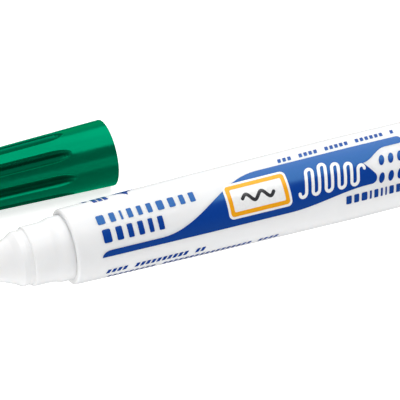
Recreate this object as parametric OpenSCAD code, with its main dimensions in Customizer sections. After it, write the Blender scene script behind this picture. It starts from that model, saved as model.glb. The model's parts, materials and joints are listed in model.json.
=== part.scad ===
// Whiteboard marker, lying uncapped on a table with its cap beside it.
// Millimetres, +Z up. The origin lies on the table, under the middle of the whole set.
// Each piece is drawn on its own axis along X: the marker's pieces from the front face of the
// barrel's shoulder, nib towards -X, and the cap's pieces from the cap's mouth, closed end
// towards -X. lay_marker() and lay_cap() then set them down on the table.

/* [Barrel] */
// Length of the barrel, from its shoulder to the seat of the rear plug
barrel_len = 88; // [80:1:110]
// Width of the step from the nose's seat out to the shoulder's edge
shoulder_step = 1.2; // [1:0.1:2]
// Distance from the shoulder to the end of the front cone
waist_x = 30; // [24:1:40]
// Gain in radius along the front cone
waist_rise = 0.65; // [0.4:0.05:1]
// Distance from the shoulder to the start of the rear cylinder
belly_x = 64; // [50:1:76]
// Gain in radius from the front cone to the rear cylinder
belly_rise = 0.5; // [0.2:0.05:0.8]
// Thickness of the barrel's wall
wall = 1.2; // [0.8:0.1:1.5]
// Rounding of the barrel's outer edges
edge_round = 0.5; // [0.2:0.1:0.6]
// Number of ribs that hold the reservoir in the middle of the barrel
rib_count = 6; // [3:1:8]
// Height of the ribs at the front of the main bore
rib_h = 0.9; // [0.5:0.1:2]
// Thickness of one rib
rib_t = 0.9; // [0.6:0.1:1.2]

/* [Nose] */
// Radius of the nose's seat, which the cap grips and the barrel's socket holds
seat_r = 6.8; // [5.6:0.1:8.2]
// Length of the seat in front of the shoulder
seat_len = 2; // [1.8:0.1:3]
// Length of the spigot inside the barrel
spigot_len = 12; // [8:1:16]
// Step from the seat's radius down to the drum's, in front of it
drum_step = 0.5; // [0.2:0.1:0.8]
// Distance from the shoulder to the front edge of the drum
drum_x = 8.5; // [7:0.1:10.5]
// Step from the drum's radius down to the sealing band's
band_step = 0.58; // [0.3:0.02:0.8]
// Length of the cone from the sealing band to the nose's mouth
tip_len = 7; // [5:0.1:9]
// Thickness of the nose's wall around the nib at its mouth
mouth_wall = 0.7; // [0.5:0.1:1.2]

/* [Nib and ink] */
// Radius of the nib
nib_r = 2.3; // [1.5:0.1:2.8]
// Length of the nib in front of the nose
nib_out = 6.2; // [4:0.1:7]
// Length of the nib inside the reservoir
nib_in = 9; // [6:1:14]
// Thickness of the film around the reservoir
film_t = 0.15; // [0.1:0.05:0.2]
// Length of the reservoir left bare at each end of the film
film_margin = 1.5; // [0.5:0.5:4]

/* [Rear plug] */
// Step from the barrel's radius down to the plug's visible head
head_step = 0.35; // [0:0.05:0.8]
// Length of the plug's visible head
head_len = 4; // [2:0.5:8]
// Length of the plug's skirt inside the barrel
skirt_len = 8; // [6:1:12]
// Thickness of the plug's skirt
skirt_t = 1.1; // [0.8:0.1:1.3]
// Length of the stops that hold the reservoir forward
stop_len = 4; // [3:0.5:5]

/* [Cap] */
// Length of the cap
cap_len = 45; // [37:1:60]
// Thickness of the cap's wall at its mouth
cap_wall = 0.8; // [0.6:0.05:1.2]
// Loss of the cap's radius per millimetre towards its closed end
cap_taper = 0.032; // [0.02:0.001:0.036]
// Rounding of the edge of the closed end
cap_round = 1.6; // [0.5:0.1:2.5]
// Number of grooves around the cap
groove_count = 8; // [6:1:8]
// Radius of the cutter that makes a groove
groove_r = 1.65; // [1.5:0.05:2.3]
// Depth of a groove
groove_depth = 1.05; // [0.4:0.05:1.1]
// Distance from the mouth to the grooves' tips
groove_tip = 9.8; // [9:0.1:14]
// Length over which a groove runs out to its tip
groove_run = 5; // [2:0.5:8]
// Thickness of the cap's wall under a groove
groove_wall = 0.9; // [0.6:0.1:1.2]
// Thickness of the cap's closed end
end_t = 1.6; // [1:0.1:3]
// Thickness of the cap's liner
liner_t = 0.62; // [0.5:0.02:0.7]
// Space in front of the nib inside the liner
liner_space = 4; // [3:0.5:8]

/* [Layout] */
// Distance that the cap's mouth lies behind the plane of the shoulder
cap_dx = 23.4; // [0:0.1:60]
// Distance between the marker's axis and the cap's
cap_dy = 35.1; // [20:0.1:80]

/* [Fits] */
// Radial clearance of pieces pressed together for good
press_gap = 0.02; // [0:0.01:0.03]
// Radial clearance of the cap on the nose
cap_gap = 0.05; // [0.02:0.01:0.1]
// Radial clearance of the liner on the sealing band
seal_gap = 0.03; // [0.01:0.01:0.1]
// Clear space where the cap only passes over the nose
pass_gap = 0.15; // [0.1:0.05:0.3]

/* [Hidden] */
$fn = 96;
bend_steps = 6;                             // straight steps in a round edge
cut = 0.01;                                 // reach of a cutter past the face it opens
fine_round = 0.1;                           // rounding of the barrel's rear edge and the cap's mouth
lead = 0.8;                                 // length of the lead-in of a pressed end
lead_r = 0.4;                               // depth of that lead-in
step_len = 2.5;                             // length of the slope from the nose's seat to its drum
drum_round = 0.4;                           // rounding of the drum's front edge
drum_draft = 0.05;                          // loss of the drum's radius towards that edge
band_gap = 0.6;                             // length of the face between the drum and the band
band_len = 1.5;                             // length of the sealing band
score_len = 0.5;                            // length of the fine groove in the band
score_depth = 0.06;                         // depth of that groove
band_fall = 1.3;                            // length of the bevel in front of the band
band_drop = 0.8;                            // depth of that bevel
tip_land = 1.6;                             // length of the steeper end of the nose
tip_rise = 0.25;                            // gain in radius along it
tip_edge = 0.4;                             // length of the bevel at the nose's mouth
tip_bevel = 0.3;                            // depth of that bevel
chamber_wall = 1.2;                         // wall of the nose under the sealing band
ledge_t = 1;                                // wall between the nose's socket and the main bore
ledge_h = 0.5;                              // height of that wall behind the reservoir's rim
head_round = 1.2;                           // rounding of the plug's head
dish_share = 0.6;                           // share of the plug's head that is dished
dish_depth = 0.5;                           // depth of the dish
dish_slope = 0.4;                           // width of the dish's sloping side
mouth_lead = 0.35;                          // widening of the cap's bore at its mouth
stop_gap = 0.3;                             // spare length behind each step of the nose in the cap
tube_gap = 0.5;                             // clear space between the nose's mouth and the liner

// the nose, outwards from the seat, and the barrel and the cap around it
drum_r = seat_r - drum_step;
band_r = drum_r - band_step;
mouth_r = nib_r + mouth_wall;
cone_end = seat_len + step_len;
band_x = drum_x + band_gap;
band_end = band_x + band_len;
nose_len = band_end + tip_len;
shoulder_r = seat_r + shoulder_step;
waist_r = shoulder_r + waist_rise;
belly_r = waist_r + belly_rise;
cap_r = seat_r + cap_gap + cap_wall;

// lying down: the barrel rests on its middle cone, the cap on its whole side
tilt = atan((belly_r - waist_r) / (belly_x - waist_x));
axis_z = waist_r * cos(tilt) - waist_x * sin(tilt);
cap_tilt = atan(cap_taper);
cap_z = cap_r * cos(cap_tilt);
head_r = belly_r - head_step;
nib_x = nose_len + nib_out;
tail_x = barrel_len + head_len;
low_x = -nib_x * cos(tilt);
high_x = tail_x * cos(tilt) + (head_r - head_round) * sin(tilt);
marker_x = -(low_x + high_x) / 2;
marker_y = (belly_r - cap_r - cap_dy) / 2;

// inside the barrel
core_x = spigot_len + ledge_t;
core_end = barrel_len - stop_len;
bore_r = belly_r - wall;
reservoir_r = barrel_r(core_x) - wall - rib_h - film_t - press_gap;
ledge_r = reservoir_r - ledge_h;
plug_r = bore_r - press_gap;
dish_r = head_r * dish_share;

// inside the nose
chamber_r = band_r - chamber_wall;
guide_x = drum_x + drum_step;

// cap, from its mouth inwards
shell_r = drum_r + pass_gap;
grip_r = seat_r + cap_gap;
liner_x = band_x + pass_gap;
liner_r = band_r + seal_gap;
collar_r = liner_r + liner_t;
collar_end = band_end + stop_gap;
tube_r = mouth_r + tube_gap;
tube_x = nose_len + lead;
liner_end = nib_x + liner_space;
groove_start = groove_tip + groove_run;
hollow_r = outer_cap_r(groove_start) - groove_depth - groove_wall;

// outer radius of the barrel at a distance from the shoulder, and of the cap from its mouth
function barrel_r(x) = lookup(x, [[0, shoulder_r], [waist_x, waist_r], [belly_x, belly_r]]);
function outer_cap_r(x) = cap_r - cap_taper * x;

// points of a round edge: centre, radius and the angles it turns through
function bend(x, y, r, from, to) = [for (i = [0:bend_steps])
    let (a = from + (to - from) * i / bend_steps) [x + r * cos(a), y + r * sin(a)]];

// a profile of [distance along X, radius] points, turned about the X axis
module turn(points) {
    rotate([0, 90, 0]) rotate([0, 0, 90]) rotate_extrude() polygon([for (p = points) [p[1], p[0]]]);
}

// a round bar along X between two distances
module rod(from, to, r) {
    translate([from, 0, 0]) rotate([0, 90, 0]) cylinder(h = to - from, r = r);
}

// a cone along X between two distances
module cone(from, to, r_from, r_to) {
    translate([from, 0, 0]) rotate([0, 90, 0]) cylinder(h = to - from, r1 = r_from, r2 = r_to);
}

module lay_marker() {
    translate([marker_x, marker_y, axis_z]) rotate([0, -tilt, 0]) children();
}

module lay_cap() {
    translate([marker_x + cap_dx, marker_y + cap_dy, cap_z]) rotate([0, -cap_tilt, 0]) children();
}

// White tube with the nose's socket in front, a ledge, and ribs along the main bore
module barrel() {
    color("white") lay_marker() {
        difference() {
            turn(concat(
                [[0, 0]],
                bend(edge_round, shoulder_r - edge_round, edge_round, 180, 90),
                [[waist_x, waist_r], [belly_x, belly_r]],
                bend(barrel_len - fine_round, belly_r - fine_round, fine_round, 90, 0),
                [[barrel_len, 0]]));
            rod(-cut, spigot_len, seat_r + press_gap);
            rod(spigot_len - cut, core_x + cut, ledge_r);
            cone(core_x, waist_x, barrel_r(core_x) - wall, waist_r - wall);
            cone(waist_x, belly_x, waist_r - wall, bore_r);
            rod(belly_x, barrel_len + cut, bore_r);
        }
        for (i = [0:rib_count - 1]) rotate([i * 360 / rib_count, 0, 0]) barrel_rib();
    }
}

// One rib, from the reservoir's film out into the wall, ending short of the plug's skirt
module barrel_rib() {
    inner = reservoir_r + film_t + press_gap;
    translate([core_x, -rib_t / 2, inner])
        cube([waist_x - core_x, rib_t, barrel_r(core_x) - wall / 2 - inner]);
    translate([waist_x, -rib_t / 2, inner])
        cube([barrel_len - skirt_len - lead - waist_x, rib_t, waist_r - wall / 2 - inner]);
}

// White nose: spigot and seat, soft slope and drum, sealing band, and a long cone down to the nib
module nose() {
    color("white") lay_marker() difference() {
        turn(concat(
            [[spigot_len, 0], [spigot_len, seat_r - lead_r], [spigot_len - lead, seat_r],
             [-seat_len, seat_r]],
            [for (i = [1:bend_steps]) [-seat_len - step_len * i / bend_steps,
                drum_r + drum_step * (1 + cos(180 * i / bend_steps)) / 2]],
            bend(-drum_x + drum_round, drum_r - drum_draft - drum_round, drum_round, 90, 180),
            [[-band_x, band_r], [-band_x - score_len / 2, band_r - score_depth],
             [-band_x - score_len, band_r], [-band_end, band_r],
             [-band_end - band_fall, band_r - band_drop],
             [-nose_len + tip_land, mouth_r + tip_rise], [-nose_len + tip_edge, mouth_r],
             [-nose_len, mouth_r - tip_bevel], [-nose_len, 0]]));
        rod(-nose_len - cut, 0, nib_r + press_gap);
        cone(-guide_x, -cone_end, nib_r + press_gap, chamber_r);
        rod(-cone_end - cut, spigot_len + cut, chamber_r);
    }
}

// Bullet-tipped fibre nib, reaching through the nose into the reservoir
module nib() {
    tip_r = nib_r * 0.5;
    slope = 25;                                 // angle of the tip's side to the axis
    ball_x = nib_x - tip_r;
    cone_len = (nib_r - tip_r * cos(slope)) / tan(slope);
    color("seagreen") lay_marker() turn(concat(
        [[core_x + nib_in, 0], [core_x + nib_in, nib_r],
         [-ball_x - tip_r * sin(slope) + cone_len, nib_r]],
        bend(-ball_x, 0, tip_r, 90 + slope, 180)));
}

// Fibre core that holds the ink, with the socket for the nib's end
module reservoir() {
    color("darkseagreen") lay_marker() difference() {
        rod(core_x, core_end, reservoir_r);
        rod(core_x - cut, core_x + nib_in, nib_r);
    }
}

// Clear film wrapped around the reservoir
module reservoir_film() {
    color("gainsboro") lay_marker() difference() {
        rod(core_x + film_margin, core_end - film_margin, reservoir_r + film_t);
        rod(core_x, core_end, reservoir_r);
    }
}

// Green plug in the barrel's rear end: dished head, skirt and the stops behind the reservoir
module rear_plug() {
    color("green") lay_marker() {
        difference() {
            turn(concat(
                [[barrel_len - skirt_len, 0], [barrel_len - skirt_len, plug_r - lead_r],
                 [barrel_len - skirt_len + lead, plug_r], [barrel_len, plug_r],
                 [barrel_len, head_r]],
                bend(tail_x - head_round, head_r - head_round, head_round, 90, 0),
                [[tail_x, 0]]));
            rod(barrel_len - skirt_len - cut, barrel_len, plug_r - skirt_t);
            cone(tail_x - dish_depth, tail_x + cut, dish_r - dish_slope, dish_r);
        }
        for (a = [0, 90]) rotate([a, 0, 0])
            translate([core_end, -reservoir_r, -rib_t / 2])
                cube([stop_len + head_len / 4, 2 * reservoir_r, rib_t]);
    }
}

// Green cap with long grooves, bored to pass over the nose and to hold the liner
module cap() {
    color("green") lay_cap() difference() {
        turn(concat(
            [[0, 0]],
            bend(-fine_round, cap_r - fine_round, fine_round, 0, 90),
            bend(-cap_len + cap_round, outer_cap_r(cap_len) - cap_round, cap_round, 90, 180),
            [[-cap_len, 0]]));
        cap_bore();
        for (i = [0:groove_count - 1]) rotate([i * 360 / groove_count, 0, 0]) groove();
    }
}

// Everything hollow inside the cap, from the mouth inwards
module cap_bore() {
    cone(-mouth_lead, cut, grip_r, grip_r + mouth_lead);
    rod(-seat_len - stop_gap, cut, grip_r);
    cone(-cone_end - stop_gap, -seat_len - stop_gap, shell_r, grip_r);
    rod(-liner_x, -cone_end - stop_gap, shell_r);
    rod(-collar_end, -liner_x, collar_r + press_gap);
    cone(-groove_start, -collar_end, hollow_r, collar_r + press_gap);
    cone(-cap_len + end_t, -groove_start, hollow_r - cap_taper * (cap_len - groove_start), hollow_r);
}

// Cutter for one groove: a bar along the cap's side with a long oval nose
module groove() {
    surface = 1 - groove_depth / groove_r;      // share of the cutter's radius above the cap's side
    nose_l = groove_run / sqrt(1 - surface * surface);
    translate([-groove_start, 0, outer_cap_r(groove_start) + groove_r - groove_depth])
        rotate([0, -cap_tilt, 0])
            turn(concat([[-cap_len, 0], [-cap_len, groove_r]],
                [for (i = [0:10]) let (a = 9 * i) [nose_l * sin(a), groove_r * cos(a)]]));
}

// Soft liner that seals on the nose's band and closes around the nib
module cap_liner() {
    color("honeydew") lay_cap() turn([
        [-liner_x, liner_r], [-liner_x, collar_r], [-collar_end, collar_r],
        [-tube_x, tube_r + liner_t], [-liner_end - liner_t, tube_r + liner_t],
        [-liner_end - liner_t, 0], [-liner_end, 0],
        [-liner_end, tube_r], [-tube_x + stop_gap, tube_r], [-band_end, liner_r]]);
}

barrel();
nose();
nib();
reservoir();
reservoir_film();
rear_plug();
cap();
cap_liner();
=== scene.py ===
"""Looks of a whiteboard marker lying uncapped on a table, with its cap beside it.

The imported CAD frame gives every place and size. It is in metres, +Z up, and stands still at rest.
The print is drawn in millimetres on a flat sheet and wrapped round the barrel: x runs from the
barrel's shoulder towards the tail, and y runs from the barrel's top line down its front.
"""
import json
import math

import bmesh
import bpy
from bpy.props import FloatProperty, FloatVectorProperty, IntProperty, PointerProperty
from mathutils import Matrix, Vector


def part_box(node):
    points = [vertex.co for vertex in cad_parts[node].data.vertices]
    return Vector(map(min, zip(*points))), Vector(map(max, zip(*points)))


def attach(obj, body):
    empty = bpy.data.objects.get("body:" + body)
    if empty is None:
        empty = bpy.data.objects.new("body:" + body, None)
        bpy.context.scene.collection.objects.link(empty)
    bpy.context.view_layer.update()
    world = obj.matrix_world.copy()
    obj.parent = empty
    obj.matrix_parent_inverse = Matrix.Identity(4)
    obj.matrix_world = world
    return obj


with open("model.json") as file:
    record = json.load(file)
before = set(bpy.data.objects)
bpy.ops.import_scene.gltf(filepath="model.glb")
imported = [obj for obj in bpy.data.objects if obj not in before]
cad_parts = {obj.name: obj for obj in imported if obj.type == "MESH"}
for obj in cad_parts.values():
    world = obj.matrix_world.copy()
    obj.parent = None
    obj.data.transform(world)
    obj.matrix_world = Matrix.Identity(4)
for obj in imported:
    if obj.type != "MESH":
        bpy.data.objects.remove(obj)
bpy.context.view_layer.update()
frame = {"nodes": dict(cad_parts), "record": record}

bl_info = {
    "name": "Whiteboard marker",
    "version": (1, 0, 0),
    "blender": (4, 5, 0),
    "location": "3D View > Sidebar > Marker",
    "description": "Finishes, print and studio of a whiteboard marker with its cap off",
    "category": "Object",
}

MM = 0.001
PRINT_WAIST = 30 * MM  # distance from the shoulder where the sheet wraps round the barrel unstretched
CAP_TAPER = 0.032  # loss of the cap's radius for each unit of its length
FACING_OUT = 0.97  # least share of a normal that points away from the axis on a piece's outside
SLANT = 0.3  # sideways lean of the small print and the dots, over their height
ON_PLASTIC = 1  # layer of ink that lies on the barrel
ON_BAND = 2  # layer of ink that lies over the band
ON_EDGE = 3  # layer of ink that lies over the pictogram's white edge
NOISE_LOW = 0.3  # most of a noise texture lies between these two values
NOISE_HIGH = 0.7
SENSOR = 36  # width of the camera's sensor in millimetres
TABLE_HALF = 3  # half the width of the table top in metres


# ---------------------------------------------------------------- sizes and colours


def colour(name, description, default):
    return FloatVectorProperty(
        name=name, description=description, default=default, subtype="COLOR", min=0, max=1, size=3
    )


def length(name, description, default):
    return FloatProperty(name=name, description=description, default=default, unit="LENGTH", precision=5)


def rotation(name, description, degrees):
    return FloatProperty(
        name=name, description=description, default=math.radians(degrees), unit="ROTATION"
    )


def brightness(name, description, default):
    return FloatProperty(name=name, description=description, default=default, min=0)


class MarkerFinish(bpy.types.PropertyGroup):
    """Colours of the plastics, the fibres and the inks"""

    white: colour("White plastic", "Colour of the barrel and the nose", (0.88, 0.882, 0.885))
    green: colour("Green plastic", "Colour of the cap and the rear plug", (0.0, 0.165, 0.078))
    liner: colour("Liner", "Colour of the soft liner in the cap", (0.74, 0.77, 0.72))
    wet_fibre: colour("Wet fibre", "Colour of the nib, soaked with ink", (0.004, 0.11, 0.05))
    dry_fibre: colour("Dry fibre", "Colour of the driest fibre of the reservoir", (0.5, 0.62, 0.55))
    film: colour("Film", "Colour of the film round the reservoir", (0.85, 0.87, 0.87))
    blue: colour("Blue ink", "Colour of the main print", (0.003, 0.045, 0.3))
    amber: colour("Amber ink", "Colour of the pictogram's frame", (0.9, 0.38, 0.01))
    grey: colour("Grey ink", "Colour of the line drawn on the pictogram", (0.03, 0.03, 0.035))
    roughness: FloatProperty(
        name="Roughness", description="Roughness of the moulded plastics", default=0.2, min=0, max=1
    )


class MarkerPrint(bpy.types.PropertyGroup):
    """Thickness of the print and the places of its parts"""

    skin: length("Skin", "Height of one layer of ink over the plastic", 0.012 * MM)
    bend: length("Bend step", "Longest straight step of the print round the barrel", 0.3 * MM)
    title_x: length("Title start", "Distance from the shoulder to the title", 5.7 * MM)
    band_end: length("Band end", "Distance from the shoulder to the end of the band", 77.2 * MM)
    board_x: length("Pictogram", "Distance from the shoulder to the pictogram's middle", 40.9 * MM)
    dot_count: IntProperty(name="Dots", description="Dots in one row", default=5, min=1, max=8)


class MarkerStudio(bpy.types.PropertyGroup):
    """Camera, lights and table"""

    turn: rotation("Turn", "Camera's turn round the object", -24.69)
    rise: rotation("Rise", "Camera's angle over the table", 30.02)
    distance: length("Distance", "Distance from the camera to the point it looks at", 0.388)
    aim: FloatVectorProperty(
        name="Aim",
        description="Point the camera looks at, from the middle of the barrel's shoulder",
        default=(0.03348, 0.00629, -0.00021),
        subtype="TRANSLATION",
    )
    lens: FloatProperty(
        name="Lens", description="Focal length on a 36 mm sensor", default=162.4, unit="CAMERA", min=1
    )
    softbox: brightness("Softbox", "Brightness of the softbox over the marker", 2.7)
    side_box: brightness("Side box", "Brightness of the light at the nib's side", 1.6)
    back_box: brightness("Back box", "Brightness of the light behind the marker", 0.8)
    room: brightness("Room", "Brightness of the room", 0.07)
    glow: brightness("Glow", "Brightness of the lit table top", 0.74)
    table: colour("Table", "Colour of the table", (0.55, 0.55, 0.55))


# ---------------------------------------------------------------- places on the frame


def mount(name):
    return next(m for m in frame["record"]["mounts"] if m["name"] == name)


def barrel_place():
    """The marker's own axes: X from the shoulder's plane to the tail, Y towards the cap, Z up."""
    hold = mount("barrel_hold")
    along = Vector(hold["axis"]).normalized()
    centre = Vector(hold["pos_m"])
    start = min(along.dot(v.co - centre) for v in frame["nodes"]["barrel"].data.vertices)
    side = Vector((0, 1, 0))
    place = Matrix((along, side, along.cross(side))).transposed().to_4x4()
    place.translation = centre + along * start
    return place


def cap_place():
    """The cap's own axes, X out of its mouth from the mouth's middle, and the mouth's radius.

    The cap lies on its tapered side, so its axis is higher at the wide mouth than at the closed end.
    """
    low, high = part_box("cap")
    radius = (high.y - low.y) / 2
    tilt = math.atan(CAP_TAPER)
    middle = Vector((high.x - radius * math.sin(tilt), (low.y + high.y) / 2, radius * math.cos(tilt)))
    return Matrix.Translation(middle) @ Matrix.Rotation(-tilt, 4, "Y"), radius


def outer_profile(node, place):
    """(distance, radius) of each ring of points on the outside of a turned CAD piece, in order."""
    back = place.inverted()
    turn_back = back.to_3x3()
    rings = {}
    for vertex in node.data.vertices:
        point = back @ vertex.co
        normal = turn_back @ vertex.normal
        radius = math.hypot(point.y, point.z)
        if normal.y * point.y + normal.z * point.z > FACING_OUT * radius:
            ring = round(point.x, 5)  # rings are told apart to a hundredth of a millimetre
            rings[ring] = max(radius, rings.get(ring, 0))
    return sorted(rings.items())


class Wrap:
    """The flat print sheet's way round the barrel"""

    def __init__(self):
        self.place = barrel_place()
        self.rings = outer_profile(frame["nodes"]["barrel"], self.place)
        self.sheet_r = self.radius(PRINT_WAIST)[0]

    def radius(self, x):
        """Radius of the barrel at a distance from the shoulder, and its slope there."""
        for (x0, r0), (x1, r1) in zip(self.rings, self.rings[1:]):
            if x <= x1:
                break
        slope = (r1 - r0) / (x1 - x0)
        return r0 + slope * (x - x0), slope

    def point(self, x, y, height):
        radius, _ = self.radius(x)
        angle = y / self.sheet_r
        reach = radius + height
        return self.place @ Vector((x, -reach * math.sin(angle), reach * math.cos(angle)))

    def normal(self, x, y):
        _, slope = self.radius(x)
        angle = y / self.sheet_r
        return self.place.to_3x3() @ Vector((-slope, -math.sin(angle), math.cos(angle))).normalized()


# ---------------------------------------------------------------- outlines on the sheet, in mm


def arc(x, y, rx, ry, start, end, steps=8):
    """Points of an arc or of an oval's part, with its angles in degrees."""
    turns = [math.radians(start + (end - start) * i / steps) for i in range(steps + 1)]
    return [(x + rx * math.cos(a), y + ry * math.sin(a)) for a in turns]


def oval(x, y, rx, ry, sides=48):
    return arc(x, y, rx, ry, 0, 360 - 360 / sides, sides - 1)


def rounded_box(x0, x1, y0, y1, r):
    """Outline of a box with corners rounded to r."""
    return (
        arc(x1 - r, y1 - r, r, r, 0, 90)
        + arc(x0 + r, y1 - r, r, r, 90, 180)
        + arc(x0 + r, y0 + r, r, r, 180, 270)
        + arc(x1 - r, y0 + r, r, r, 270, 360)
    )


def s_curve(x0, x1, y0, y1, steps=20):
    """A smooth rise or fall from one level to another."""
    shares = [i / steps for i in range(steps + 1)]
    return [(x0 + (x1 - x0) * t, y0 + (y1 - y0) * t * t * (3 - 2 * t)) for t in shares]


def stroke(path, width):
    """Outline of a pen stroke of one width with round ends, along a path."""
    left, right = [], []
    half = width / 2
    for i, (x, y) in enumerate(path):
        ax, ay = path[max(i - 1, 0)]
        bx, by = path[min(i + 1, len(path) - 1)]
        run = math.hypot(bx - ax, by - ay)
        nx, ny = -(by - ay) / run, (bx - ax) / run
        left.append((x + nx * half, y + ny * half))
        right.append((x - nx * half, y - ny * half))
    ends = []
    for (x, y), edge in ((path[-1], left[-1]), (path[0], right[0])):
        start = math.degrees(math.atan2(edge[1] - y, edge[0] - x))
        ends.append(arc(x, y, half, half, start, start - 180)[1:-1])
    return left + ends[0] + right[::-1] + ends[1]


def leaning(points, y, lean):
    """Slants an outline: what lies above a line y moves towards the tail."""
    return [(px - lean * (py - y), py) for px, py in points]


def row(x, y, height, widths, gap, lean=0.0):
    """Blocks of the given widths in a row, for the letters of a line of print."""
    round_share = 0.2
    blocks = []
    for width in widths:
        corner = min(width, height) * round_share
        box = rounded_box(x, x + width, y - height / 2, y + height / 2, corner)
        blocks.append([leaning(box, y, lean)])
        x += width + gap
    return blocks


def small_line(start, end, height, words):
    """A line of small print between two points of the sheet, as words of so many small blocks."""
    width, gap, space = 0.78, 0.42, 1.5
    (x0, y0), (x1, y1) = start, end
    blocks, x, word = [], x0, 0
    while x < x1:
        for _ in range(words[word % len(words)]):
            if x + width < x1:
                y = y0 + (y1 - y0) * (x - x0) / (x1 - x0)
                blocks += row(x, y, height, [width], gap, SLANT)
            x += width + gap
        x += space
        word += 1
    return blocks


def scribble(x, base, r, heights, lean, steps=12):
    """Path of a pen that goes up and down in round turns on one line, with each peak's height given."""
    path = []
    for height in heights:
        path += arc(x + r, base - r, r, r, 180, 0, steps)
        path += arc(x + 3 * r, base + r - height, r, r, 180, 360, steps)
        x += 4 * r
    return leaning(path, base, lean)


# ---------------------------------------------------------------- print pieces


def flat_fill(shapes, cuts_x, step):
    """Faces inside the outlines, cut so finely across the sheet that they bend round the barrel."""
    on_plane = 1e-8  # a point nearer than this to a cut counts as on it
    sheet = bmesh.new()
    for loops in shapes:
        shape = bmesh.new()
        for loop in loops:
            verts = [shape.verts.new((x * MM, y * MM, 0)) for x, y in loop]
            for a, b in zip(verts, verts[1:] + verts[:1]):
                shape.edges.new((a, b))
        bmesh.ops.triangle_fill(shape, use_beauty=True, edges=shape.edges[:])
        levels = [v.co.y for v in shape.verts]
        first, last = math.ceil(min(levels) / step), math.floor(max(levels) / step)
        planes = [((0, level * step, 0), (0, 1, 0)) for level in range(first, last + 1)]
        planes += [((x, 0, 0), (1, 0, 0)) for x in cuts_x]
        for point, across in planes:
            geometry = shape.verts[:] + shape.edges[:] + shape.faces[:]
            bmesh.ops.bisect_plane(shape, geom=geometry, dist=on_plane, plane_co=point, plane_no=across)
        part = bpy.data.meshes.new("part")
        shape.to_mesh(part)
        shape.free()
        sheet.from_mesh(part)
        bpy.data.meshes.remove(part)
    for face in sheet.faces:
        face.normal_update()
        if face.normal.z > 0:
            face.normal_flip()
    return sheet


def ink_piece(name, shapes, ink, layer=ON_PLASTIC):
    """A thin closed skin of ink on the barrel, from outlines with holes on the print sheet."""
    sizes = bpy.context.scene.marker_print
    wrap = Wrap()
    breaks = [x for x, _ in wrap.rings]
    sheet = flat_fill(shapes, breaks, sizes.bend)
    sheet.verts.index_update()
    flat = [(v.co.x, v.co.y) for v in sheet.verts]
    count = len(flat)
    top = [[v.index for v in face.verts] for face in sheet.faces]
    under = [[i + count for i in reversed(face)] for face in top]
    rim = []
    for edge in sheet.edges:
        if edge.is_boundary:
            loop = edge.link_loops[0]
            a, b = loop.vert.index, loop.link_loop_next.vert.index
            rim.append([b, a, a + count, b + count])
    sheet.free()
    high, low = layer * sizes.skin, -sizes.skin
    points = [wrap.point(x, y, high) for x, y in flat] + [wrap.point(x, y, low) for x, y in flat]
    mesh = bpy.data.meshes.new(name)
    mesh.from_pydata(points, [], top + under + rim)
    normals = [wrap.normal(x, y) for x, y in flat]
    mesh.polygons.foreach_set("use_smooth", [i < len(top) for i in range(len(mesh.polygons))])
    # the top takes the barrel's own normals, so that it reflects as the plastic under it does
    loops = [normals[i] for face in top for i in face]
    loops += [Vector((0, 0, 0))] * (len(mesh.loops) - len(loops))
    mesh.normals_split_custom_set(loops)
    mesh.materials.append(ink)
    piece = bpy.data.objects.new(name, mesh)
    bpy.context.scene.collection.objects.link(piece)
    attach(piece, "marker")
    return piece


# ---------------------------------------------------------------- materials


def new_material(name, sockets):
    """A material with the given values on its Principled shader, and that shader."""
    material = bpy.data.materials.new(name)
    material.use_nodes = True
    shader = material.node_tree.nodes["Principled BSDF"]
    for socket, value in sockets.items():
        shader.inputs[socket].default_value = value
    return material, shader


def grain(material, size, stretch=1.0, detail=3.0):
    """Noise over the object with patches of the given size, drawn out along X by the stretch."""
    nodes, links = material.node_tree.nodes, material.node_tree.links
    place = nodes.new("ShaderNodeTexCoord")
    scale = nodes.new("ShaderNodeMapping")
    scale.inputs["Scale"].default_value = (1 / (size * stretch), 1 / size, 1 / size)
    noise = nodes.new("ShaderNodeTexNoise")
    noise.inputs["Scale"].default_value = 1.0
    noise.inputs["Detail"].default_value = detail
    links.new(place.outputs["Object"], scale.inputs["Vector"])
    links.new(scale.outputs["Vector"], noise.inputs["Vector"])
    return noise.outputs["Fac"]


def span(material, factor, low, high, into):
    """Spreads a factor between two values, into a socket."""
    nodes, links = material.node_tree.nodes, material.node_tree.links
    spread = nodes.new("ShaderNodeMapRange")
    spread.inputs["From Min"].default_value = NOISE_LOW
    spread.inputs["From Max"].default_value = NOISE_HIGH
    spread.inputs["To Min"].default_value = low
    spread.inputs["To Max"].default_value = high
    links.new(factor, spread.inputs["Value"])
    links.new(spread.outputs["Result"], into)


def shades(material, factor, low, high, into):
    """Spreads a factor between two colours, into a colour socket."""
    nodes, links = material.node_tree.nodes, material.node_tree.links
    ramp = nodes.new("ShaderNodeValToRGB")
    first, last = ramp.color_ramp.elements
    first.position, last.position = NOISE_LOW, NOISE_HIGH
    first.color, last.color = (*low, 1), (*high, 1)
    links.new(factor, ramp.inputs["Fac"])
    links.new(ramp.outputs["Color"], into)


def relief(material, shader, factor, depth, strength):
    """Raises and sinks the surface by a factor."""
    nodes, links = material.node_tree.nodes, material.node_tree.links
    bump = nodes.new("ShaderNodeBump")
    bump.inputs["Strength"].default_value = strength
    bump.inputs["Distance"].default_value = depth
    links.new(factor, bump.inputs["Height"])
    links.new(bump.outputs["Normal"], shader.inputs["Normal"])


def toned(rgb, share):
    """A colour made darker by a share under 1, or lighter by one over 1."""
    return tuple(min(c * share, 1) for c in rgb)


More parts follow.
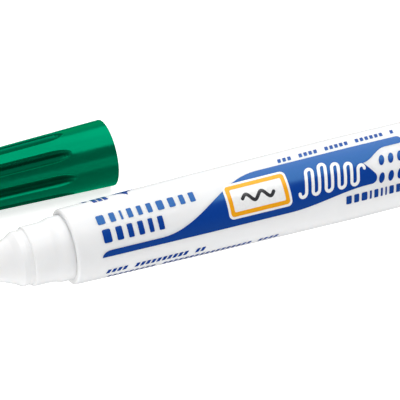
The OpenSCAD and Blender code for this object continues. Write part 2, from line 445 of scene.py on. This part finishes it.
def white_plastic():
    """Glossy white polypropylene in which light spreads a little, with a fine moulded skin."""
    finish = bpy.context.scene.marker_finish
    material, shader = new_material(
        "white_polypropylene",
        {
            "IOR": 1.5,
            "Specular IOR Level": 0.2,
            "Subsurface Weight": 0.7,
            "Subsurface Radius": (1.0, 0.95, 0.9),
            "Subsurface Scale": 1.5 * MM,
        },
    )
    white = tuple(finish.white)
    clouds = grain(material, 6 * MM, stretch=2.5)
    shades(material, clouds, toned(white, 0.985), toned(white, 1.01), shader.inputs["Base Color"])
    wear = grain(material, 2 * MM, stretch=4)
    span(material, wear, finish.roughness + 0.035, finish.roughness + 0.065, shader.inputs["Roughness"])
    skin = grain(material, 0.3 * MM, stretch=2)
    relief(material, shader, skin, depth=0.002 * MM, strength=0.06)
    return material


def groove_depth(material):
    """Depth under the cap's smooth cone, from 0 near its surface to 1 on the floor of the grooves: the
    mask of the shade painted into the grooves.
    """
    rim_depth, floor_depth = 0.15 * MM, 0.9 * MM
    place, radius = cap_place()
    nodes, links = material.node_tree.nodes, material.node_tree.links
    where = nodes.new("ShaderNodeTexCoord")
    own_axes = nodes.new("ShaderNodeMapping")
    own_axes.vector_type = "TEXTURE"
    own_axes.inputs["Location"].default_value = place.translation
    own_axes.inputs["Rotation"].default_value = place.to_euler()
    links.new(where.outputs["Object"], own_axes.inputs["Vector"])
    parts = nodes.new("ShaderNodeSeparateXYZ")
    links.new(own_axes.outputs["Vector"], parts.inputs["Vector"])
    across = nodes.new("ShaderNodeVectorMath")
    across.operation = "MULTIPLY"
    across.inputs[1].default_value = (0, 1, 1)
    links.new(own_axes.outputs["Vector"], across.inputs[0])
    reach = nodes.new("ShaderNodeVectorMath")
    reach.operation = "LENGTH"
    links.new(across.outputs["Vector"], reach.inputs[0])
    cone = nodes.new("ShaderNodeMath")
    cone.operation = "MULTIPLY_ADD"
    cone.inputs[1].default_value = CAP_TAPER
    cone.inputs[2].default_value = radius
    links.new(parts.outputs["X"], cone.inputs[0])
    depth = nodes.new("ShaderNodeMath")
    depth.operation = "SUBTRACT"
    links.new(cone.outputs["Value"], depth.inputs[0])
    links.new(reach.outputs["Value"], depth.inputs[1])
    share = nodes.new("ShaderNodeMapRange")
    share.interpolation_type = "SMOOTHSTEP"
    share.inputs["From Min"].default_value = rim_depth
    share.inputs["From Max"].default_value = floor_depth
    links.new(depth.outputs["Value"], share.inputs["Value"])
    return share.outputs["Result"]


def green_plastic(name, grooved):
    """Deep green glossy plastic with faint flow lines from the mould. On the cap, shade is painted into
    the floors of the grooves; on the plug, the same darker green makes random mottles.
    """
    finish = bpy.context.scene.marker_finish
    green = tuple(finish.green)
    material, shader = new_material(
        name,
        {
            "IOR": 1.5,
            "Metallic": 0.6,
            "Specular IOR Level": 0.0,
            "Specular Tint": (0.0, 1.0, 0.4, 1),
            "Sheen Weight": 0.5,
            "Sheen Roughness": 0.45,
            "Sheen Tint": (0.0, 1.0, 0.5, 1),
        },
    )
    nodes, links = material.node_tree.nodes, material.node_tree.links
    mix = nodes.new("ShaderNodeMix")
    mix.data_type = "RGBA"
    shade_and_mottle_share, open_side, shade_and_mottle_colour, result = mix.inputs[0], mix.inputs[6], mix.inputs[7], mix.outputs[2]
    flow = grain(material, 4 * MM, stretch=5)
    shades(material, flow, toned(green, 0.9), toned(green, 1.1), open_side)
    # painted shade: the darker green that the cap's groove floors mix towards, also used for the plug's
    # random mottles
    shade_and_mottle_colour.default_value = (*toned(green, 0.25), 1)
    if grooved:
        # painted shade in the cap's grooves, deepest on their floors
        links.new(groove_depth(material), shade_and_mottle_share)
    else:
        # random darker mottles on the plug
        span(material, grain(material, 1.5 * MM, stretch=3), 0.0, 0.12, shade_and_mottle_share)
    links.new(result, shader.inputs["Base Color"])
    wear = grain(material, 0.9 * MM, stretch=5)
    span(material, wear, finish.roughness - 0.01, finish.roughness + 0.03, shader.inputs["Roughness"])
    skin = grain(material, 0.3 * MM, stretch=6)
    relief(material, shader, skin, depth=0.004 * MM, strength=0.08)
    return material


def liner_plastic():
    """Soft milky polyethylene, cloudy and satin."""
    finish = bpy.context.scene.marker_finish
    milk = tuple(finish.liner)
    material, shader = new_material("milky_polyethylene", {"IOR": 1.51})
    clouds = grain(material, 3 * MM)
    shades(material, clouds, toned(milk, 0.93), toned(milk, 1.04), shader.inputs["Base Color"])
    span(material, grain(material, 0.5 * MM), 0.4, 0.55, shader.inputs["Roughness"])
    relief(material, shader, grain(material, 0.3 * MM), depth=0.01 * MM, strength=0.4)
    return material


def fibre(name, dark, light, thread):
    """Bundled fibres along the marker: streaks of colour, and ridges as wide as a thread."""
    material, shader = new_material(name, {"Roughness": 0.9, "IOR": 1.4, "Sheen Weight": 0.3})
    streaks = grain(material, thread * 3, stretch=25, detail=5)
    shades(material, streaks, dark, light, shader.inputs["Base Color"])
    ridges = grain(material, thread, stretch=30, detail=4)
    relief(material, shader, ridges, depth=thread * 0.6, strength=0.8)
    return material


def clear_film():
    """Thin clear wrap with fine creases along it."""
    finish = bpy.context.scene.marker_finish
    tint = tuple(finish.film)
    material, shader = new_material("clear_film", {"IOR": 1.5, "Alpha": 0.35})
    clouds = grain(material, 5 * MM, stretch=3)
    shades(material, clouds, toned(tint, 0.96), toned(tint, 1.05), shader.inputs["Base Color"])
    span(material, grain(material, 0.6 * MM, stretch=8), 0.08, 0.2, shader.inputs["Roughness"])
    creases = grain(material, 0.8 * MM, stretch=12)
    relief(material, shader, creases, depth=0.03 * MM, strength=0.5)
    return material


def printed_ink(name, rgb, sheen=(1.0, 1.0, 1.0)):
    """Screen-printed ink: a slightly uneven coat, glossy as the plastic under it, which reflects
    with a sheen of its own colour."""
    if name in bpy.data.materials:
        return bpy.data.materials[name]
    finish = bpy.context.scene.marker_finish
    sockets = {"IOR": 1.5, "Specular IOR Level": 0.9, "Specular Tint": (*sheen, 1)}
    material, shader = new_material(name, sockets)
    coat = grain(material, 0.5 * MM, detail=5)
    shades(material, coat, toned(rgb, 0.96), toned(rgb, 1.04), shader.inputs["Base Color"])
    wear = grain(material, 0.8 * MM, stretch=2)
    span(material, wear, finish.roughness + 0.02, finish.roughness + 0.05, shader.inputs["Roughness"])
    relief(material, shader, grain(material, 0.12 * MM), depth=0.003 * MM, strength=0.05)
    return material


def blue_ink():
    return printed_ink("blue_ink", tuple(bpy.context.scene.marker_finish.blue), (0.25, 0.68, 0.97))


def white_ink():
    return printed_ink("white_ink", tuple(bpy.context.scene.marker_finish.white))


def amber_ink():
    return printed_ink("amber_ink", tuple(bpy.context.scene.marker_finish.amber), (1.0, 0.8, 0.3))


def grey_ink():
    return printed_ink("grey_ink", tuple(bpy.context.scene.marker_finish.grey))


def table_top():
    """Smooth pale matt board with a glow of its own."""
    studio = bpy.context.scene.marker_studio
    pale = tuple(studio.table)
    material, shader = new_material(
        "pale_table",
        {"Specular IOR Level": 0.1, "Emission Color": (1, 1, 1, 1), "Emission Strength": studio.glow},
    )
    clouds = grain(material, 60 * MM)
    shades(material, clouds, toned(pale, 0.995), toned(pale, 1.005), shader.inputs["Base Color"])
    span(material, grain(material, 5 * MM), 0.75, 0.85, shader.inputs["Roughness"])
    return material


def dress(node, material):
    """Gives a CAD piece its finish."""
    mesh = frame["nodes"][node].data
    mesh.materials.clear()
    mesh.materials.append(material)


# ---------------------------------------------------------------- studio


def aim_camera(studio, target):
    """Puts the camera at its turn, rise and distance from the target."""
    scene = bpy.context.scene
    to_camera = Vector((
        math.sin(studio.turn) * math.cos(studio.rise),
        -math.cos(studio.turn) * math.cos(studio.rise),
        math.sin(studio.rise),
    ))
    lens = bpy.data.cameras.new("camera")
    lens.lens = studio.lens
    lens.sensor_width = SENSOR
    lens.clip_start = 10 * MM
    camera = bpy.data.objects.new("camera", lens)
    camera.location = target + to_camera * studio.distance
    camera.rotation_euler = (-to_camera).to_track_quat("-Z", "Y").to_euler()
    scene.collection.objects.link(camera)
    scene.camera = camera


def soft_lamp(name, size, strength, place, back):
    """A rectangular light of a given brightness, which shines the opposite way from its back."""
    width, height = size
    lamp = bpy.data.lights.new(name, "AREA")
    lamp.shape = "RECTANGLE"
    lamp.size, lamp.size_y = width, height
    lamp.energy = strength * math.pi * width * height
    light = bpy.data.objects.new(name, lamp)
    light.location = place
    light.rotation_euler = back.to_track_quat("Z", "Y").to_euler()
    bpy.context.scene.collection.objects.link(light)


def hang_lamps(studio, target):
    """Hangs a wide softbox over the set, with two lower lights at the nib's side and behind."""
    up = Vector((0, 0, 1))
    overhead = Vector((0.25, 0.057, 0.5))
    to_side = Vector((-0.5, -0.12, 0.2))
    to_back = Vector((0.1, 0.6, 0.3))
    soft_lamp("softbox", (0.8, 0.8), studio.softbox, target + overhead, up)
    soft_lamp("side_box", (0.5, 0.4), studio.side_box, target + to_side, to_side)
    soft_lamp("back_box", (1.2, 0.4), studio.back_box, target + to_back, to_back)


def light_room(studio):
    """Fills the room with faint even light, and shows colours as they are."""
    scene = bpy.context.scene
    room = bpy.data.worlds.new("room")
    room.use_nodes = True
    background = room.node_tree.nodes["Background"]
    background.inputs["Color"].default_value = (1, 1, 1, 1)
    background.inputs["Strength"].default_value = studio.room
    scene.world = room
    scene.view_settings.view_transform = "Standard"


def lay_table():
    """Lays the table top under the set. The plastics don't mirror it."""
    board = bmesh.new()
    bmesh.ops.create_grid(board, x_segments=8, y_segments=8, size=TABLE_HALF)
    mesh = bpy.data.meshes.new("table")
    board.to_mesh(mesh)
    board.free()
    mesh.materials.append(table_top())
    table = bpy.data.objects.new("table", mesh)
    bpy.context.scene.collection.objects.link(table)
    table.visible_glossy = False


# ---------------------------------------------------------------- operators


class MARKER_OT_plastics(bpy.types.Operator):
    """Finish the barrel, the nose, the cap, its liner and the rear plug"""

    bl_idname = "marker.plastics"
    bl_label = "Plastics"

    def execute(self, context):
        white = white_plastic()
        dress("barrel", white)
        dress("nose", white)
        dress("cap", green_plastic("green_cap_plastic", True))
        dress("rear_plug", green_plastic("green_plug_plastic", False))
        dress("cap_liner", liner_plastic())
        return {"FINISHED"}


class MARKER_OT_ink_system(bpy.types.Operator):
    """Finish the nib, the reservoir and its film"""

    bl_idname = "marker.ink_system"
    bl_label = "Nib and reservoir"

    def execute(self, context):
        finish = context.scene.marker_finish
        wet, dry = tuple(finish.wet_fibre), tuple(finish.dry_fibre)
        dress("nib", fibre("wet_fibre", toned(wet, 0.6), toned(wet, 1.6), 0.05 * MM))
        dress("reservoir", fibre("core_fibre", toned(wet, 3), dry, 0.08 * MM))
        dress("reservoir_film", clear_film())
        return {"FINISHED"}


class MARKER_OT_band(bpy.types.Operator):
    """Print the blue band that runs along the barrel and rises over it"""

    bl_idname = "marker.band"
    bl_label = "Blue band"

    def execute(self, context):
        arm_end = context.scene.marker_print.band_end / MM
        bar_x, bar_front, bar_top = 7.2, 2.0, 11.65
        swell_x, crest_x, crest_y = 18.5, 42.5, 2.2
        arm_x, arm_low = 72.5, 4.1
        notch_x, notch_y = 66.2, 6.5
        heel_x, heel_y, heel_rx, heel_ry = 67.2, 9.8, 1.4, 1.3
        foot_x, foot_y = 66.0, 11.1
        belly_x, belly_low = 47.5, 13.0
        bar_end, bar_low = 20.0, 13.1
        round_r = (arm_low - crest_y) / 2
        outline = (
            arc(bar_x, bar_low, bar_front, bar_low - bar_top, 180, 270)
            + s_curve(swell_x, crest_x, bar_top, crest_y)
            + arc(arm_end - round_r, crest_y + round_r, round_r, round_r, -90, 90)
            + s_curve(arm_x, notch_x, arm_low, notch_y, 10)
            + arc(heel_x, heel_y, heel_rx, heel_ry, -40, 90)
            + s_curve(foot_x, belly_x, foot_y, belly_low)
            + [(bar_end, bar_low)]
        )
        ink_piece("print_band", [[outline]], blue_ink())
        return {"FINISHED"}


class MARKER_OT_title(bpy.types.Operator):
    """Print the two lines of blocks that stand for the title"""

    bl_idname = "marker.title"
    bl_label = "Title blocks"

    def execute(self, context):
        x = context.scene.marker_print.title_x / MM
        indent, gap = 0.3, 1.1
        upper_y, upper_height = 4.6, 2.3
        lower_y, lower_height = 8.45, 3.0
        upper = row(x, upper_y, upper_height, [1.7, 1.2, 0.5, 1.1, 1.0, 1.1, 1.5, 1.4, 1.1, 1.2], gap)
        lower = row(x + indent, lower_y, lower_height, [1.8, 1.4, 1.2, 1.2, 1.0, 1.2], gap)
        ink_piece("print_title", upper + lower, blue_ink())
        return {"FINISHED"}


class MARKER_OT_pictogram(bpy.types.Operator):
    """Print the small picture of a whiteboard with a line drawn on it"""

    bl_idname = "marker.pictogram"
    bl_label = "Whiteboard pictogram"

    def execute(self, context):
        x, y = context.scene.marker_print.board_x / MM, 7.7
        half_w, half_h = 6.8, 3.3
        frame_w, rim = 0.9, 0.5
        edge = rounded_box(x - half_w - rim, x + half_w + rim, y - half_h - rim, y + half_h + rim, r=1.1)
        board = rounded_box(x - half_w, x + half_w, y - half_h, y + half_h, r=0.7)
        inner_w, inner_h = half_w - frame_w, half_h - frame_w
        inside = rounded_box(x - inner_w, x + inner_w, y - inner_h, y + inner_h, r=0.3)
        line_half, line_step, wave_height, half_wave = 3.6, 0.12, 0.75, 15
        line = [
            (x - line_half + line_step * i, y - wave_height * math.sin(math.pi * i / half_wave))
            for i in range(4 * half_wave + 1)
        ]
        ink_piece("print_board_edge", [[edge]], white_ink(), ON_BAND)
        ink_piece("print_board_frame", [[board, inside]], amber_ink(), ON_EDGE)
        ink_piece("print_board_line", [[stroke(line, width=0.75)]], grey_ink(), ON_EDGE)
        return {"FINISHED"}


class MARKER_OT_stroke(bpy.types.Operator):
    """Print the white line that a marker draws, over the band"""

    bl_idname = "marker.stroke"
    bl_label = "White stroke"

    def execute(self, context):
        start_x, base_y, turn_r = 50.0, 10.4, 0.77
        path = scribble(start_x, base_y, turn_r, [5.4, 5.8, 5.2, 4.6, 3.6], lean=0.25)
        ink_piece("print_stroke", [[stroke(path, width=0.7)]], white_ink(), ON_BAND)
        return {"FINISHED"}


class MARKER_OT_dots(bpy.types.Operator):
    """Print the two rows of dots"""

    bl_idname = "marker.dots"
    bl_label = "Dots"

    def execute(self, context):
        count = context.scene.marker_print.dot_count
        spacing, half_w, half_h = 2.27, 0.68, 1.05
        starts = ((70.6, 6.8), (69.7, 10.35))
        dots = [
            [leaning(oval(x + spacing * i, y, half_w, half_h), y, SLANT)]
            for x, y in starts
            for i in range(count)
        ]
        ink_piece("print_dots", dots, blue_ink())
        return {"FINISHED"}


class MARKER_OT_small_print(bpy.types.Operator):
    """Print the rows of small blocks that stand for the lines of small print"""

    bl_idname = "marker.small_print"
    bl_label = "Small print"

    def execute(self, context):
        upper = small_line((48.3, 1.05), (77.0, 0.5), height=1.25, words=(3, 4, 5, 6))
        lower = small_line((6.3, 17.6), (28.8, 17.35), height=1.4, words=(4, 10))
        lower += small_line((6.9, 20.4), (46.2, 19.4), height=1.3, words=(9, 17, 12))
        series_x, series_y, series_height, gap = 60.8, 13.4, 1.9, 0.6
        widths = [1.3, 1.2, 1.4, 0.5, 1.0, 0.5, 0.4, 1.1, 1.0]
        series = row(series_x, series_y, series_height, widths, gap)
        ink_piece("print_upper_line", upper, blue_ink())
        ink_piece("print_lower_lines", lower, blue_ink())
        ink_piece("print_series", series, blue_ink())
        return {"FINISHED"}


class MARKER_OT_rear_print(bpy.types.Operator):
    """Print the marks on the far side of the barrel"""

    bl_idname = "marker.rear_print"
    bl_label = "Rear print"

    def execute(self, context):
        bars_x, bars_y, bars_height, gap = 7.2, -3.4, 4.4, 0.3
        stub_x, stub_y, stub_height = 5.3, -4.2, 2.2
        bars = row(bars_x, bars_y, bars_height, [0.9, 0.9, 0.9], gap)
        stub = row(stub_x, stub_y, stub_height, [1.1], gap)
        flag = [
            (11.9, -3.9),
            (13.8, -2.6),
            (14.8, -0.9),
            (15.1, -2.6),
            (16.8, -4.3),
            (18.4, -5.6),
            (14.2, -5.0),
        ]
        ink_piece("print_rear_blocks", bars + stub + [[flag]], blue_ink())
        return {"FINISHED"}


class MARKER_OT_stage(bpy.types.Operator):
    """Set the camera, the soft lights, the room's light and the table"""

    bl_idname = "marker.stage"
    bl_label = "Studio"

    def execute(self, context):
        studio = context.scene.marker_studio
        target = barrel_place().translation + Vector(studio.aim)
        aim_camera(studio, target)
        hang_lamps(studio, target)
        light_room(studio)
        lay_table()
        return {"FINISHED"}


class MARKER_PT_panel(bpy.types.Panel):
    """Lists the marker's pieces, sizes and colours"""

    bl_idname = "MARKER_PT_panel"
    bl_label = "Whiteboard marker"
    bl_space_type = "VIEW_3D"
    bl_region_type = "UI"
    bl_category = "Marker"

    def draw(self, context):
        for step in OPERATORS:
            self.layout.operator(step.bl_idname)
        for group in ("marker_finish", "marker_print", "marker_studio"):
            values = getattr(context.scene, group)
            box = self.layout.box()
            for name in type(values).__annotations__:
                box.prop(values, name)


OPERATORS = (
    MARKER_OT_stage,
    MARKER_OT_plastics,
    MARKER_OT_ink_system,
    MARKER_OT_band,
    MARKER_OT_title,
    MARKER_OT_pictogram,
    MARKER_OT_stroke,
    MARKER_OT_dots,
    MARKER_OT_small_print,
    MARKER_OT_rear_print,
)
GROUPS = {"marker_finish": MarkerFinish, "marker_print": MarkerPrint, "marker_studio": MarkerStudio}


def register():
    for item in (*GROUPS.values(), *OPERATORS, MARKER_PT_panel):
        bpy.utils.register_class(item)
    for name, group in GROUPS.items():
        setattr(bpy.types.Scene, name, PointerProperty(type=group))


def unregister():
    for name in GROUPS:
        delattr(bpy.types.Scene, name)
    for item in (MARKER_PT_panel, *OPERATORS[::-1], *GROUPS.values()):
        bpy.utils.unregister_class(item)


def main():
    register()
    bpy.ops.marker.stage()
    bpy.ops.marker.plastics()
    bpy.ops.marker.ink_system()
    bpy.ops.marker.band()
    bpy.ops.marker.title()
    bpy.ops.marker.pictogram()
    bpy.ops.marker.stroke()
    bpy.ops.marker.dots()
    bpy.ops.marker.small_print()
    bpy.ops.marker.rear_print()
    bpy.context.view_layer.update()


if __name__ == "__main__":
    main()
